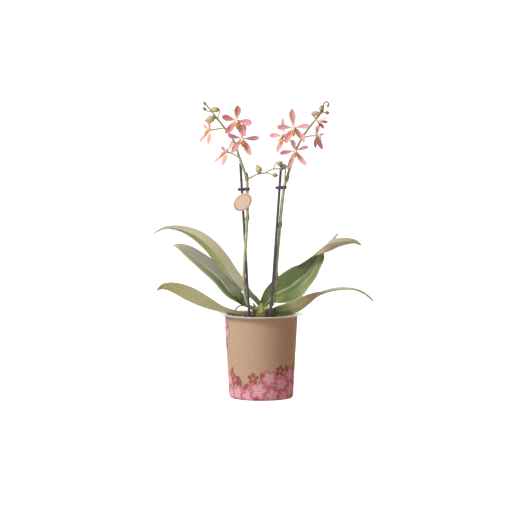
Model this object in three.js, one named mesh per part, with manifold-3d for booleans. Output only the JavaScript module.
// A moth orchid with two flower spikes, in a grower's pot that hangs by its rim inside a paper cover pot.
// Millimetres, +Z up. The origin is the centre of the cover pot's underside. The plant faces -Y.
import * as THREE from "three";
import { mergeVertices } from "three/addons/utils/BufferGeometryUtils.js";
import Module from "manifold-3d";

const wasm = await Module();
wasm.setup();

// Driving dimensions

const CLEARANCE = 0.3; // between two pieces that touch on the real object

const COVER = { height: 99.4, baseRadius: 38.6, topRadius: 44.2, wall: 1, floor: 1.6, corner: 2.6 };
const GROWER = {
  floorTop: 3, floor: 1, baseRadius: 35.4, topRadius: 42.4, wall: 0.9,
  rimRadius: 50.8, rimTop: 101.4, rimThickness: 1.2,
  drainRadius: 3.2, drainRing: 22, drains: 6,
};
const BARK = { top: 91.5, chipTop: 97.4, chips: 28, spread: 36, seed: 11 };
const LATHE_SEGMENTS = 32;

// The crown's rows are height and radius. It is narrower from front to back.
const CROWN = {
  rows: [[84, 4.5], [93, 8.2], [100, 9.2], [106, 8.2], [111, 6], [114.5, 2.5]],
  flatness: 0.8,
};
const ROOTS = [
  [
    [-5, -1, 103, 1.1], [-12, -1.5, 107, 1], [-21, -1, 110.6, 0.9], [-29, -1, 108.4, 0.9],
    [-34.5, -1, 97, 0.8],
  ],
  [[3, 3, 96, 2.1], [9, 15, 99.5, 2], [13, 24, 98, 1.9], [16, 30, 88, 1.8]],
  [[-4, 3, 96, 2.1], [-12, 14, 99, 1.9], [-20, 22, 97, 1.8], [-25, 26, 86, 1.7]],
];

// Midribs from the crown to the tip. Each row is x, y, z, half width, roll and fold.
// Roll turns the leaf's upper face from upwards (0) towards the front (90) or the back (-90).
// Fold is the angle that each half of the blade rises, which makes a channel along the midrib.
const LEAVES = {
  leaf_left_top: [
    [-2, 0, 110, 4, -30, 40], [-8, -0.5, 117, 5.5, -34, 40], [-16, -1, 124, 6.5, -40, 38],
    [-27.9, -2, 136, 9.5, -50, 34], [-39.7, -3, 150.2, 11, -58, 28], [-50.3, -4, 166.9, 11, -62, 22],
    [-62.3, -5, 182.6, 9.6, -64, 18], [-78.2, -6, 195.6, 7.3, -64, 14], [-96.1, -7, 203.4, 4.4, -62, 12],
    [-114.1, -8, 205, 2.2, -55, 10], [-129.1, -9, 198.4, 0.8, -45, 8],
  ],
  leaf_left_middle: [
    [-4, 3.5, 104, 3.2, 20, 45], [-12, 4.5, 106.5, 3.6, 30, 42], [-20.6, 5.5, 110.8, 5, 45, 36],
    [-27.8, 6.5, 118.2, 8.3, 55, 28], [-37, 8, 128, 11.2, 60, 22], [-50.4, 10, 144.3, 12, 60, 18],
    [-68.8, 12, 159.6, 11, 58, 16], [-86.1, 13, 173, 8.6, 55, 14], [-98.2, 14, 180.6, 4.8, 48, 12],
    [-106.7, 15, 182.6, 0.8, 40, 10],
  ],
  leaf_left_bottom: [
    [-4, -3, 101, 3.2, -40, 40], [-14, -5, 101.2, 3, -50, 35], [-29, -8, 102, 3.4, -58, 28],
    [-47, -11, 106.6, 5, -64, 18], [-67.4, -13, 115.8, 8.4, -68, 14], [-85.3, -14, 125, 9.5, -68, 12],
    [-103.2, -15, 132.6, 8, -64, 10], [-116.3, -15, 134.8, 5, -55, 8], [-125.3, -16, 130.6, 0.8, -40, 8],
  ],
  leaf_right_top: [
    [1, 2, 106, 5, 20, 45], [6, 3, 113.5, 8, 50, 35], [12, 4.5, 120.5, 12, 68, 24],
    [20.4, 6, 125.8, 15.8, 74, 16], [35, 9, 132.9, 18.8, 76, 12], [45, 11, 141.2, 17.3, 74, 14],
    [54.8, 13, 149.6, 14, 78, 18], [61.6, 14.5, 160, 11.8, 98, 28], [66.8, 15, 167.8, 9.8, 122, 34],
    [71.6, 15.5, 175, 8.2, 160, 40], [79, 17.5, 181.4, 7.6, 205, 36], [87.6, 20, 185, 7, 238, 26],
    [97.3, 22.5, 186.2, 5.2, 256, 18], [106.5, 24.5, 186.8, 3.9, 275, 12], [114.5, 27, 186, 2.5, 290, 8],
    [121.9, 29, 181.4, 0.8, 300, 6],
  ],
  leaf_right_back: [
    [0, 5, 108, 3, 10, 30], [7, 13, 116, 5, 15, 25], [16.7, 22, 127.1, 7, 10, 20],
    [35, 32, 142.8, 9, 10, 15], [54.6, 38, 158.2, 8, 5, 12], [71.8, 40, 173.7, 5, 0, 10],
    [84, 40.5, 184.8, 2.5, 0, 8], [93.6, 41, 195, 0.8, 0, 6],
  ],
  leaf_right_bottom: [
    [3, -3, 102.5, 4, -10, 45], [12, -6.5, 101.9, 6, -15, 45], [22.6, -11, 102, 11, -20, 45],
    [35.7, -14, 103.2, 15, -22, 45], [47.3, -16, 107.8, 15, -25, 42], [57.2, -18, 115.6, 13, -20, 35],
    [66.7, -20, 124.2, 11, -8, 20], [79.8, -21, 129.6, 9, 0, 10], [95.3, -22, 132.6, 8.5, 2, 8],
    [110.8, -22, 132.5, 7.5, 0, 8], [124, -21, 127.2, 4, 0, 8], [134.8, -20, 117.9, 0.8, 0, 6],
  ],
};
const LEAF = { extraStations: 3, ribThickness: 2, edgeThickness: 0.8 };

// Straight sticks, from just above the bark to the top.
const STAKES = {
  stake_left: { foot: [-14.4, -14, 101.2], head: [-24.9, -8, 282.2] },
  stake_right: { foot: [11.3, -16, 100.1], head: [24.1, -9, 284.2] },
};
const STAKE = { radius: 1.5, end: 16, point: 8, pointRadius: 0.5, sides: 10 };

// Flower spikes from the crown to the last bud. Rows of a stem are x, y, z and radius.
// A bud has the place where its stalk starts, its own middle and axis, and its length and width.
const SPIKES = {
  spike_left: {
    stem: [
      [-5, -4, 106.5, 1.9], [-11, -6.5, 108, 1.9], [-16, -8, 113, 1.9], [-19.4, -9.4, 124, 1.8],
      [-20.6, -11.8, 139, 1.8], [-20.6, -14.3, 154.8, 1.8], [-19.7, -15.2, 170.5, 1.8],
      [-18.7, -15.1, 184.9, 1.8], [-17.6, -14.1, 200.5, 1.8], [-16.9, -12.5, 216, 1.8],
      [-16.4, -10.6, 232.6, 1.8], [-16.6, -9.4, 248.1, 1.8], [-17.3, -9.2, 263.7, 1.7],
      [-21.9, -11.6, 278, 1.6], [-27.1, -11.6, 292.4, 1.5], [-31, -10.5, 305.5, 1.4],
      [-37.2, -11, 316.6, 1.3], [-44.6, -11, 325.7, 1.2], [-52.9, -10.5, 336.3, 1.1],
      [-61.3, -9.5, 347, 0.9], [-66.9, -8.5, 353.5, 0.8],
    ],
    collars: [4, 9, 12],
    branch: [
      [-17.3, -9.2, 263, 1.1], [-10.5, -11, 266.6, 1], [-4.3, -13, 269.7, 0.9], [4.8, -15, 271.3, 0.9],
      [10.3, -16, 274.3, 0.8], [14.5, -17.5, 275.9, 0.8], [20, -20, 276.3, 0.7],
    ],
    buds: [
      { from: [-52, -10.5, 335.4], at: [-55.5, -12, 346.6], axis: [-1, 0, 0.05], size: [11, 7] },
      { from: [-50, -10.7, 332.6], at: [-61.2, -15, 334.9], axis: [-0.95, -0.1, -0.3], size: [12, 8.6] },
      { from: [-51.5, -10.6, 334.8], at: [-57.2, -7.2, 337.2], axis: [-0.7, 0.2, 0.4], size: [6.4, 5.2] },
      { from: [-59, -10, 344], at: [-67.8, -11, 347.4], axis: [-0.7, 0, 0.7], size: [5, 4.2] },
      { from: [-64, -9, 350.3], at: [-67.6, -8.4, 354], axis: [-0.5, 0, 0.86], size: [4.4, 3.6] },
      { from: [-3, -13.5, 270], at: [-3.4, -14.4, 275.8], axis: [-0.35, 0, 0.94], size: [10.6, 8] },
      { from: [5.5, -15.1, 271.4], at: [16.6, -16, 268.4], axis: [1, 0, -0.15], size: [7, 5.4] },
      { from: [14.2, -17.4, 275.8], at: [22, -18.6, 282], axis: [0.85, 0, -0.5], size: [7, 6] },
      { from: [18.5, -19.6, 276.2], at: [24, -20.6, 276], axis: [1, -0.1, 0], size: [5.6, 5] },
    ],
  },
  spike_right: {
    stem: [
      [5.5, -4, 107.5, 1.9], [10.5, -6.6, 109.4, 1.9], [13.6, -8.6, 113.6, 1.9], [15.6, -10.2, 122, 1.8],
      [16.9, -11, 132.9, 1.8], [17.9, -11, 145, 1.8], [18.6, -10.6, 159.4, 1.8], [19.7, -10, 175, 1.8],
      [21.1, -9.5, 190.6, 1.8], [22.4, -9.1, 207.4, 1.8], [23.9, -8.9, 224.2, 1.8], [25.6, -9.2, 241, 1.8],
      [27.5, -9.6, 254.1, 1.7], [30.1, -9.8, 262.5, 1.6], [33.2, -10, 273.3, 1.6], [37, -10.3, 284.6, 1.5],
      [41.3, -10.5, 297.7, 1.4], [46.3, -11, 308.5, 1.4], [52.8, -11, 319.2, 1.3], [60, -10.5, 328.7, 1.2],
      [67.7, -10, 337.9, 1], [73.4, -9, 344.6, 0.9], [74.2, -8.6, 350.6, 0.85], [75.8, -8.4, 355, 0.8],
      [78.8, -8.4, 355.6, 0.75], [80.4, -8.4, 353.4, 0.7],
    ],
    collars: [5, 9, 13],
    branch: [[29, -9.7, 259, 1], [28.4, -12.4, 264, 0.9], [28.6, -13.6, 270, 0.8], [28.8, -14, 274.5, 0.7]],
    buds: [
      { from: [65.5, -10.2, 335.3], at: [66, -14.5, 341.8], axis: [1, 0, 0.02], size: [12, 6.4] },
      { from: [71.6, -9.4, 342.4], at: [71.6, -12.6, 348.4], axis: [0.2, 0, 0.95], size: [7.4, 5.6] },
      { from: [72.4, -9.2, 343.4], at: [78.8, -10.4, 342.6], axis: [0.9, 0, -0.2], size: [5, 4.4] },
      { from: [80.2, -8.4, 354], at: [79.6, -8.4, 351], axis: [-0.4, 0, -0.9], size: [3.8, 3.2] },
      { from: [28.7, -13.8, 272], at: [27.6, -14.4, 279], axis: [-0.35, 0, 0.94], size: [7.4, 6] },
    ],
  },
};
const STALK = { radius: 0.75, budRadius: 0.6, sides: 4, lift: 0.35, reach: 0.9 };
const COLLAR_SHAPE = [[-3, 0.1], [-1.2, 0.7], [1, 0.75], [3.4, 0.05]]; // shift along the stem, and swell
const BUD_SHAPE = [[0, 0.35], [0.14, 0.76], [0.42, 1], [0.76, 0.68], [1, 0.12]]; // share, girth

// A clip has a ring round the stake and a ring round the stem at one height, and two finger tabs.
const CLIPS = {
  clip_left: { stake: "stake_left", spike: "spike_left", z: 251.1 },
  clip_right: { stake: "stake_right", spike: "spike_right", z: 253.2 },
};
const CLIP = {
  height: 3.6, wall: 1, stemRadius: 1.8, bridge: 2.2, sides: 12, tab: [3.4, 1.1, 3.2], tabAngle: 28,
};

// The oval tag hangs in front of the left stake on a sleeve of its own.
const TAG = {
  z: 236, front: 14, long: 12.6, short: 9.4, tilt: 42, thickness: 0.8, sleeve: 5, wall: 0.8, neck: 2,
};

// Blooms. The angles are of the dorsal sepal, right petal, left petal, right sepal and left sepal,
// seen from the front, and the lengths follow the same order.
const TEPAL_WIDTHS = [7.8, 6.6, 6.6, 7, 7];
const FULL_LENGTH = 16; // a shorter tepal is narrower too
const BLOOMS = [
  { name: "bloom_left_1", spike: "spike_left", from: [-40, -11, 320.2], at: [-28.8, -33, 333.9],
    facing: [0.05, -1, -0.1], angles: [87, -11, 165, -63, -132], lengths: [18.5, 18, 18.5, 21, 20.5] },
  { name: "bloom_left_2", spike: "spike_left", from: [-30.5, -10.4, 303.8], at: [-22.9, -23, 312.1],
    facing: [0.12, -1, -0.05], angles: [85, 3, 165, -61, -129], lengths: [18, 20.5, 18, 22, 21] },
  { name: "bloom_left_3", spike: "spike_left", from: [-42.5, -11, 323.4], at: [-61.8, -5, 322.2],
    facing: [-0.96, -0.22, -0.02], angles: [90, 16, 162, -56, -136], lengths: [15, 18, 18, 20, 20] },
  { name: "bloom_left_4", spike: "spike_left", from: [-25.6, -11.6, 288.2], at: [-41.3, -8, 296.1],
    facing: [-0.95, -0.2, 0.2], angles: [95, 10, 165, -53, -135], lengths: [16, 18, 18, 21, 20] },
  { name: "bloom_right_1", spike: "spike_right", from: [50, -11, 314.8], at: [38.3, -36, 325.4],
    facing: [-0.03, -1, -0.08], angles: [95, 9, 177, -51, -120], lengths: [23, 19, 19.6, 21.4, 20.7] },
  { name: "bloom_right_2", spike: "spike_right", from: [41.6, -10.6, 298.4], at: [26.4, -18, 315.9],
    facing: [-0.5, -0.85, -0.05], angles: [83, 20, 180, -47, -108], lengths: [21, 16, 17, 11.5, 21.5] },
  { name: "bloom_right_3", spike: "spike_right", from: [37.8, -10.4, 287], at: [40.3, -25, 298],
    facing: [0.1, -1, 0], angles: [107, 17, 190, -55, -113], lengths: [14, 16, 19, 22, 24] },
  { name: "bloom_right_4", spike: "spike_right", from: [48.5, -11, 312.2], at: [66.5, -14, 315.1],
    facing: [0.91, -0.4, -0.1], angles: [87, 14, 166, -54, -134], lengths: [13, 14, 17, 19, 19] },
  { name: "bloom_right_5", spike: "spike_right", from: [59, -10.6, 327.4], at: [67.5, -18, 333],
    facing: [0.75, -0.5, -0.4], angles: [90, 18, 162, -47, -133], lengths: [9, 8, 8, 9, 9] },
];
// A tepal's outline is share of its length and of its half width. It curls forward towards its tip.
const TEPAL = {
  outline: [[0.07, 0.26], [0.3, 0.46], [0.52, 0.92], [0.72, 0.98], [0.9, 0.62], [1, 0.12]],
  thickness: 0.9, lift: 0.02, curl: 0.2, cup: 0.3,
};
const HUB = { radius: 2.2, back: 1.2, front: 0.5, sides: 8 };
// The lip's middle lobe runs forwards and down, and its side lobes spread out below the column.
// Each row is x, y and z of the lobe's middle line, and its half width.
const LIP = {
  thickness: 0.9,
  fullLength: 20, // dorsal sepal of a bloom with a lip of this size
  base: 1.2, // where the lip starts, in front of the bloom's middle
  column: [[0, 0.4, 1.2, 1.2], [0, -0.2, 4.2, 1.7], [0, -2.8, 6.4, 1]],
  middle: [[0, -0.6, 1.9, 0.9], [0, -2.6, 3.6, 1.2], [0, -5.8, 5.8, 2.2], [0, -10.2, 7.2, 0.5]],
  side: [[0.3, -2.6, 3.4, 0.8], [2.4, -5.2, 5, 1.6], [4.2, -6.4, 6.4, 0.7]],
};

const LOOKS = {
  cover_pot: [0xb98f68, 0.9], grower_pot: [0xf1ece9, 0.45], bark_mix: [0x4a2c1b, 0.95],
  crown: [0x6f8a3d, 0.6], leaf: [0x6b8a40, 0.4], spike: [0x8c9a63, 0.55], stake: [0x4a434f, 0.5],
  clip: [0x4b4550, 0.45], tag: [0xeec3a0, 0.6], tepals: [0xe08b8f, 0.6], lip: [0xe9a04e, 0.5],
};

// Solids

const vec = ([x, y, z]) => new THREE.Vector3(x, y, z);

// The row at share t of a smooth curve through rows of numbers.
function along(rows, t) {
  const last = rows.length - 1;
  const i = Math.min(Math.floor(t * last), last - 1);
  const f = t * last - i;
  const number = (k, column) => {
    if (k < 0) return 2 * rows[0][column] - rows[1][column];
    if (k > last) return 2 * rows[last][column] - rows[last - 1][column];
    return rows[k][column];
  };
  return rows[0].map((_, column) => {
    const [a, b, c, d] = [-1, 0, 1, 2].map((step) => number(i + step, column));
    return b + 0.5 * f * (c - a + f * (2 * a - 5 * b + 4 * c - d + f * (3 * (b - c) + d - a)));
  });
}

function tangentAt(rows, t, step = 0.004) {
  const ahead = vec(along(rows, Math.min(1, t + step)));
  return ahead.sub(vec(along(rows, Math.max(0, t - step)))).normalize();
}

// A closed surface through rings of points. Each ring runs along one face and back along the other.
// Both faces are split along the same diagonals, so a thin waved blade never crosses itself.
function loft(rings) {
  const n = rings[0].length;
  const half = n / 2;
  const end = (rings.length - 1) * n;
  const index = [];
  for (let start = 0; start < end; start += n) {
    for (let i = 0; i < n; i++) {
      const [a, b] = [start + i, start + ((i + 1) % n)];
      const [c, d] = [b + n, a + n];
      index.push(...(i < half ? [a, b, c, a, c, d] : [a, b, d, b, c, d]));
    }
  }
  for (let i = 0; i + 1 < half; i++) {
    const [a, b, c, d] = [i, i + 1, n - 2 - i, n - 1 - i];
    index.push(a, c, b, a, d, c, end + a, end + b, end + c, end + a, end + c, end + d);
  }
  const positions = rings.flat().flatMap((point) => point.toArray());
  const geometry = new THREE.BufferGeometry();
  geometry.setAttribute("position", new THREE.Float32BufferAttribute(positions, 3));
  geometry.setIndex(index);
  return geometry;
}

// A geometry as a solid that can be joined and cut, with its faces turned outwards.
function solid(geometry) {
  const bare = new THREE.BufferGeometry();
  bare.setAttribute("position", geometry.getAttribute("position"));
  bare.setIndex(geometry.index);
  const merged = mergeVertices(bare, 1e-4);
  const corners = merged.index.array;
  const triangles = [];
  for (let i = 0; i < corners.length; i += 3) {
    const [a, b, c] = corners.slice(i, i + 3);
    if (a !== b && b !== c && c !== a) triangles.push(a, b, c);
  }
  const vertProperties = new Float32Array(merged.attributes.position.array);
  const make = (order) =>
    new wasm.Manifold(new wasm.Mesh({ numProp: 3, vertProperties, triVerts: new Uint32Array(order) }));
  const made = make(triangles);
  return made.volume() < 0 ? make(triangles.reverse()) : made;
}

function toGeometry(body) {
  const mesh = body.getMesh();
  const geometry = new THREE.BufferGeometry();
  geometry.setAttribute("position", new THREE.BufferAttribute(mesh.vertProperties, 3));
  geometry.setIndex(new THREE.BufferAttribute(mesh.triVerts, 1));
  geometry.computeVertexNormals();
  return geometry;
}

const joined = (solids) => solids.reduce((all, one) => all.add(one));
const cut = (body, tools) => tools.reduce((left, tool) => left.subtract(tool), body);

// The main body of a solid: a scrap that a cut leaves loose is dropped.
const larger = (one, other) => (other.volume() > one.volume() ? other : one);
const mainBody = (body) => body.decompose().reduce(larger);

function turned(profile, segments = LATHE_SEGMENTS) {
  const points = profile.map(([r, z]) => new THREE.Vector2(r, z));
  return solid(new THREE.LatheGeometry(points, segments).rotateX(Math.PI / 2));
}

// A round bar with a ring at each row of x, y, z and radius. Extra widens it all over.
function bar(rows, sides, extra = 0) {
  const normal = new THREE.Vector3(0.3, 1, 0.2);
  return loft(rows.map((row, k) => {
    const ahead = vec(rows[Math.min(k + 1, rows.length - 1)]);
    const tangent = ahead.sub(vec(rows[Math.max(k - 1, 0)])).normalize();
    normal.addScaledVector(tangent, -normal.dot(tangent)).normalize();
    const other = new THREE.Vector3().crossVectors(tangent, normal);
    const beyond = k === 0 ? -extra : k === rows.length - 1 ? extra : 0;
    return Array.from({ length: sides }, (_, i) => {
      const angle = (2 * Math.PI * i) / sides;
      return vec(row)
        .addScaledVector(tangent, beyond)
        .addScaledVector(normal, (row[3] + extra) * Math.cos(angle))
        .addScaledVector(other, (row[3] + extra) * Math.sin(angle));
    });
  }));
}

// A bar along the smooth curve through the rows.
function stem(rows, steps, sides, extra = 0) {
  return solid(bar(Array.from({ length: steps + 1 }, (_, k) => along(rows, k / steps)), sides, extra));
}

// A thin blade through stations. Each has a middle, a side vector to its edge, and a normal for its face.
// Rise lifts the edges along the normal, and thick gives the thickness at a share of the way to the edge.
function blade(stations, shares, thick) {
  return loft(stations.map(({ middle, side, normal, rise }) => {
    const at = (share, face) => middle.clone()
      .addScaledVector(side, share)
      .addScaledVector(normal, rise * Math.abs(share) + (face * thick(Math.abs(share))) / 2);
    return [...shares.map((share) => at(share, 1)), ...shares.toReversed().map((share) => at(share, -1))];
  }));
}

// Repeatable random numbers from 0 to 1.
function randomFrom(seed) {
  let state = seed;
  return () => {
    state = (state + 0x6d2b79f5) | 0;
    let x = Math.imul(state ^ (state >>> 15), 1 | state);
    x = (x + Math.imul(x ^ (x >>> 7), 61 | x)) ^ x;
    return ((x ^ (x >>> 14)) >>> 0) / 4294967296;
  };
}

// Pots and bark

function coverPot() {
  const { height, baseRadius, topRadius, wall, floor, corner } = COVER;
  return turned([
    [0, 0], [baseRadius - corner, 0], [baseRadius - corner * 0.3, corner * 0.3], [baseRadius, corner],
    [topRadius, height], [topRadius - wall, height], [baseRadius - wall, corner],
    [baseRadius - corner, floor], [0, floor],
  ]);
}

function growerPot() {
  const g = GROWER;
  const under = g.rimTop - g.rimThickness;
  const cup = turned([
    [0, g.floorTop - g.floor], [g.baseRadius - 0.8, g.floorTop - g.floor], [g.baseRadius, g.floorTop],
    [g.topRadius, under], [g.rimRadius, under], [g.rimRadius, g.rimTop - 0.5],
    [g.rimRadius - 0.5, g.rimTop], [g.topRadius - g.wall, g.rimTop], [g.baseRadius - g.wall, g.floorTop],
    [0, g.floorTop],
  ]);
  const drill = new THREE.CylinderGeometry(g.drainRadius, g.drainRadius, 6, 10).rotateX(Math.PI / 2);
  const holes = Array.from({ length: g.drains }, (_, k) => {
    const angle = (2 * Math.PI * k) / g.drains;
    const [x, y] = [g.drainRing * Math.cos(angle), g.drainRing * Math.sin(angle)];
    return solid(drill.clone().translate(x, y, g.floorTop));
  });
  return cut(cup, holes);
}

// A plug of bark with chips of random size and turn half sunk into its top.
function barkMix() {
  const g = GROWER;
  const floor = g.floorTop + CLEARANCE;
  const radiusAt = (z) => {
    const share = (z - g.floorTop) / (g.rimTop - g.floorTop);
    return g.baseRadius + (g.topRadius - g.baseRadius) * share - g.wall - CLEARANCE - 0.1;
  };
  const fill = (top) => turned([[0, floor], [radiusAt(floor), floor], [radiusAt(top), top], [0, top]]);
  const random = randomFrom(BARK.seed);
  const chips = Array.from({ length: BARK.chips }, (_, k) => {
    const chip = new THREE.BoxGeometry(9 + 8 * random(), 6 + 5 * random(), 3.5 + 2.5 * random());
    chip.rotateX(0.7 * (random() - 0.5)).rotateY(0.7 * (random() - 0.5)).rotateZ(Math.PI * random());
    const radius = BARK.spread * Math.sqrt((k + 0.5) / BARK.chips);
    const angle = k * Math.PI * (3 - Math.sqrt(5));
    const lift = 1 + 1.6 * random();
    return solid(chip.translate(radius * Math.cos(angle), radius * Math.sin(angle), BARK.top + lift));
  });
  return joined([fill(BARK.top), ...chips]).intersect(fill(BARK.chipTop));
}

// Crown and leaves

function crown(extra = 0) {
  const { rows, flatness } = CROWN;
  const heart = bar(rows.map(([z, radius]) => [0, 0, z, radius]), 12, extra / flatness);
  return joined([solid(heart.scale(1, flatness, 1)), ...ROOTS.map((root) => stem(root, 6, 6, extra))]);
}

function leaf(rows, extra = 0) {
  const last = rows.length + LEAF.extraStations - 1;
  const stations = Array.from({ length: last + 1 }, (_, k) => {
    const t = k / last;
    const [x, y, z, width, roll, fold] = along(rows, t);
    const tangent = tangentAt(rows, t);
    const up = new THREE.Vector3(0, 0, 1).addScaledVector(tangent, -tangent.z).normalize();
    const front = new THREE.Vector3().crossVectors(tangent, up);
    if (front.y > 0) front.negate();
    const turn = THREE.MathUtils.degToRad(roll);
    const lift = THREE.MathUtils.degToRad(fold);
    const normal = up.clone().multiplyScalar(Math.cos(turn)).addScaledVector(front, Math.sin(turn));
    const side = front.multiplyScalar(Math.cos(turn)).addScaledVector(up, -Math.sin(turn));
    side.multiplyScalar((width + extra) * Math.cos(lift));
    return { middle: new THREE.Vector3(x, y, z), side, normal, rise: width * Math.sin(lift) };
  });
  const { ribThickness, edgeThickness } = LEAF;
  const thick = (share) => ribThickness + (edgeThickness - ribThickness) * share + 2 * extra;
  return solid(blade(stations, [-1, -0.5, 0, 0.5, 1], thick));
}

// Spikes, stakes, clips and tag

// Rows of a bar that leaves start along away and arrives at end along into.
function bow(start, away, end, into, radius) {
  const reach = start.distanceTo(end) * STALK.reach;
  return [0, 0.25, 0.5, 0.75, 1].map((t) => {
    const point = start.clone().multiplyScalar(2 * t ** 3 - 3 * t ** 2 + 1)
      .addScaledVector(away, (t ** 3 - 2 * t ** 2 + t) * reach)
      .addScaledVector(end, 3 * t ** 2 - 2 * t ** 3)
      .addScaledVector(into, (t ** 3 - t ** 2) * reach);
    return [...point.toArray(), radius];
  });
}

function bud({ from, at, axis, size: [length, width] }) {
  const direction = vec(axis).normalize();
  const rows = BUD_SHAPE.map(([share, girth]) =>
    [...vec(at).addScaledVector(direction, length * (share - 0.5)).toArray(), (girth * width) / 2]);
  const start = vec(from);
  const end = vec(at).addScaledVector(direction, -length * 0.42);
  const away = end.clone().sub(start).normalize();
  const stalk = bow(start, away, end, direction, STALK.budRadius);
  return solid(bar(rows, 6)).add(solid(bar(stalk, STALK.sides)));
}

// The swollen joint of a spike with its dry bract, at one row of its stem.
function collar(rows, k) {
  const tangent = tangentAt(rows, k / (rows.length - 1));
  const rings = COLLAR_SHAPE.map(([shift, swell]) =>
    [...vec(rows[k]).addScaledVector(tangent, shift).toArray(), rows[k][3] + swell]);
  return solid(bar(rings, 6));
}

function bloomStalk({ from, at, facing }) {
  const into = vec(facing).normalize();
  const start = vec(from);
  const end = vec(at).addScaledVector(into, -HUB.back - 1.5 * CLEARANCE);
  const away = end.clone().sub(start).normalize();
  away.z += STALK.lift;
  return stem(bow(start, away.normalize(), end, into, STALK.radius), 6, STALK.sides);
}

const mainStem = (name, extra = 0) => stem(SPIKES[name].stem, 28, 6, extra);

function spike(name) {
  const { stem: rows, collars, branch, buds } = SPIKES[name];
  const blooms = BLOOMS.filter((bloom) => bloom.spike === name);
  return joined([
    mainStem(name), stem(branch, 7, 6), ...collars.map((k) => collar(rows, k)), ...buds.map(bud),
    ...blooms.map(bloomStalk),
  ]);
}

// The point at height z on the straight line of a stake.
function stakeAt(name, z) {
  const { foot, head } = STAKES[name];
  return vec(foot).lerp(vec(head), (z - foot[2]) / (head[2] - foot[2]));
}

function stake(name, extra = 0) {
  const { radius, end, point, pointRadius, sides } = STAKE;
  const rows = [[end, pointRadius], [end + point, radius], [STAKES[name].head[2], radius]];
  return solid(bar(rows.map(([z, r]) => [...stakeAt(name, z).toArray(), r]), sides, extra));
}

// The point at height z on the stem of a spike.
function stemAt(name, z) {
  const rows = SPIKES[name].stem;
  const k = rows.findIndex((row) => row[2] > z) - 1;
  const [low, high] = [vec(rows[k]), vec(rows[k + 1])];
  return low.lerp(high, (z - low.z) / (high.z - low.z));
}

function clip({ stake: stakeName, spike: spikeName, z }) {
  const { height, wall, stemRadius, bridge, sides, tab, tabAngle } = CLIP;
  const [stick, shoot] = [stakeAt(stakeName, z), stemAt(spikeName, z)];
  const disc = (middle, inner) => {
    const radius = inner + CLEARANCE + wall;
    const upright = new THREE.CylinderGeometry(radius, radius, height, sides).rotateX(Math.PI / 2);
    return solid(upright.translate(...middle.toArray()));
  };
  const tabs = [-1, 1].map((way) => solid(new THREE.BoxGeometry(...tab)
    .translate(-STAKE.radius - tab[0] / 2, 0, 0)
    .rotateZ(THREE.MathUtils.degToRad(way * tabAngle))
    .translate(...stick.toArray())));
  const middle = stick.clone().add(shoot).multiplyScalar(0.5);
  const web = new THREE.BoxGeometry(shoot.x - stick.x, bridge, height).translate(...middle.toArray());
  const rings = joined([disc(stick, STAKE.radius), disc(shoot, stemRadius), solid(web), ...tabs]);
  return cut(rings, [stake(stakeName, CLEARANCE), mainStem(spikeName, CLEARANCE)]);
}

function tag() {
  const { z, front, long, short, tilt, thickness, sleeve, wall, neck } = TAG;
  const outline = new THREE.Shape().absellipse(0, 0, long, short, 0, 2 * Math.PI);
  const options = { depth: thickness, bevelEnabled: false, curveSegments: 12 };
  const card = new THREE.ExtrudeGeometry(outline, options);
  const middle = stakeAt("stake_left", z);
  card.rotateZ(THREE.MathUtils.degToRad(tilt)).rotateX(Math.PI / 2);
  card.translate(middle.x, -front + thickness, z);
  const radius = STAKE.radius + CLEARANCE + wall;
  const tube = new THREE.CylinderGeometry(radius, radius, sleeve, CLIP.sides).rotateX(Math.PI / 2);
  const depth = middle.y + front - thickness / 2;
  const web = new THREE.BoxGeometry(neck, depth, sleeve).translate(0, -depth / 2, 0);
  const holder = [tube, web].map((part) => solid(part.translate(...middle.toArray())));
  return cut(joined([solid(card), ...holder]), [stake("stake_left", CLEARANCE)]);
}

// Blooms, each in a frame of its own: x to the right, y up and z out of the bloom's face

function tepal(angle, length, fullWidth) {
  const { outline, thickness, lift, curl, cup } = TEPAL;
  const width = fullWidth * Math.min(1, length / FULL_LENGTH);
  const stations = outline.map(([share, girth]) => {
    const half = (girth * width) / 2;
    const height = length * (lift * share + curl * share ** 2) - thickness / 2;
    return {
      middle: new THREE.Vector3(share * length, 0, height),
      side: new THREE.Vector3(0, half, 0),
      normal: new THREE.Vector3(-lift - 2 * curl * share, 0, 1).normalize(),
      rise: half * cup,
    };
  });
  return solid(blade(stations, [-1, 0, 1], () => thickness).rotateZ(THREE.MathUtils.degToRad(angle)));
}

function tepals({ angles, lengths }) {
  const { radius, back, front, sides } = HUB;
  const hub = new THREE.CylinderGeometry(radius, radius, back + front, sides).rotateX(Math.PI / 2);
  return joined([
    solid(hub.translate(0, 0, (front - back) / 2)),
    ...angles.map((angle, k) => tepal(angle, lengths[k], TEPAL_WIDTHS[k])),
  ]);
}

// A lobe of the lip, whose edges point as near to the way given as its middle line allows.
function lobe(rows, way) {
  const points = rows.map(vec);
  const stations = rows.map((row, k) => {
    const ahead = points[Math.min(k + 1, points.length - 1)].clone();
    const tangent = ahead.sub(points[Math.max(k - 1, 0)]).normalize();
    const side = way.clone().addScaledVector(tangent, -way.dot(tangent)).normalize();
    const normal = new THREE.Vector3().crossVectors(tangent, side);
    return { middle: points[k], side: side.multiplyScalar(row[3]), normal, rise: 0 };
  });
  return solid(blade(stations, [-1, 0, 1], () => LIP.thickness));
}

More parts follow.
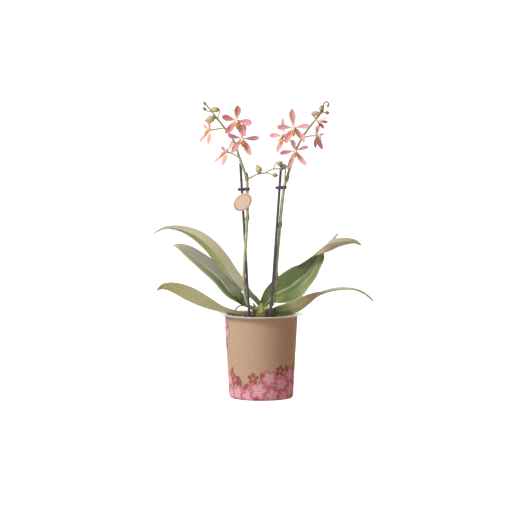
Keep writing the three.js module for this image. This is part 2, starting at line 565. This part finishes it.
function lip({ lengths }) {
  const size = Math.min(1, 0.33 + (0.67 * lengths[0]) / LIP.fullLength);
  const mirrored = LIP.side.map(([x, ...rest]) => [-x, ...rest]);
  return joined([
    solid(bar(LIP.column, 6)),
    lobe(LIP.middle, new THREE.Vector3(1, 0, 0)),
    lobe(LIP.side, new THREE.Vector3(-0.3, 0.5, -1)),
    lobe(mirrored, new THREE.Vector3(0.3, 0.5, -1)),
  ]).scale([size, size, size]).translate([0, 0, LIP.base * (1 - size)]);
}

// The plant, put together. A later piece is cut clear of the earlier ones that it touches.

const plant = new THREE.Group();

function place(name, body, look = name, group = plant) {
  const [color, roughness] = LOOKS[look];
  const material = new THREE.MeshStandardMaterial({ color, roughness, metalness: 0 });
  const mesh = new THREE.Mesh(toGeometry(body), material);
  mesh.name = name;
  group.add(mesh);
}

const stakeTools = Object.keys(STAKES).map((name) => stake(name, CLEARANCE));
const plantTools = [crown(CLEARANCE)];

place("cover_pot", coverPot());
place("grower_pot", growerPot());
place("bark_mix", mainBody(cut(barkMix(), [...plantTools, ...stakeTools])));
place("crown", crown());
for (const [name, rows] of Object.entries(LEAVES)) {
  place(name, mainBody(cut(leaf(rows), plantTools)), "leaf");
  plantTools.push(leaf(rows, CLEARANCE));
}
for (const name of Object.keys(STAKES)) place(name, stake(name), "stake");
for (const name of Object.keys(SPIKES)) place(name, mainBody(cut(spike(name), plantTools)), "spike");
for (const [name, made] of Object.entries(CLIPS)) place(name, clip(made), "clip");
place("tag", tag());

for (const bloom of BLOOMS) {
  const facing = vec(bloom.facing).normalize();
  const up = new THREE.Vector3(0, 0, 1).addScaledVector(facing, -facing.z).normalize();
  const right = new THREE.Vector3().crossVectors(up, facing);
  const head = new THREE.Group();
  head.quaternion.setFromRotationMatrix(new THREE.Matrix4().makeBasis(right, up, facing));
  head.position.set(...bloom.at);
  place(`${bloom.name}_tepals`, tepals(bloom), "tepals", head);
  place(`${bloom.name}_lip`, lip(bloom), "lip", head);
  plant.add(head);
}

export default plant;
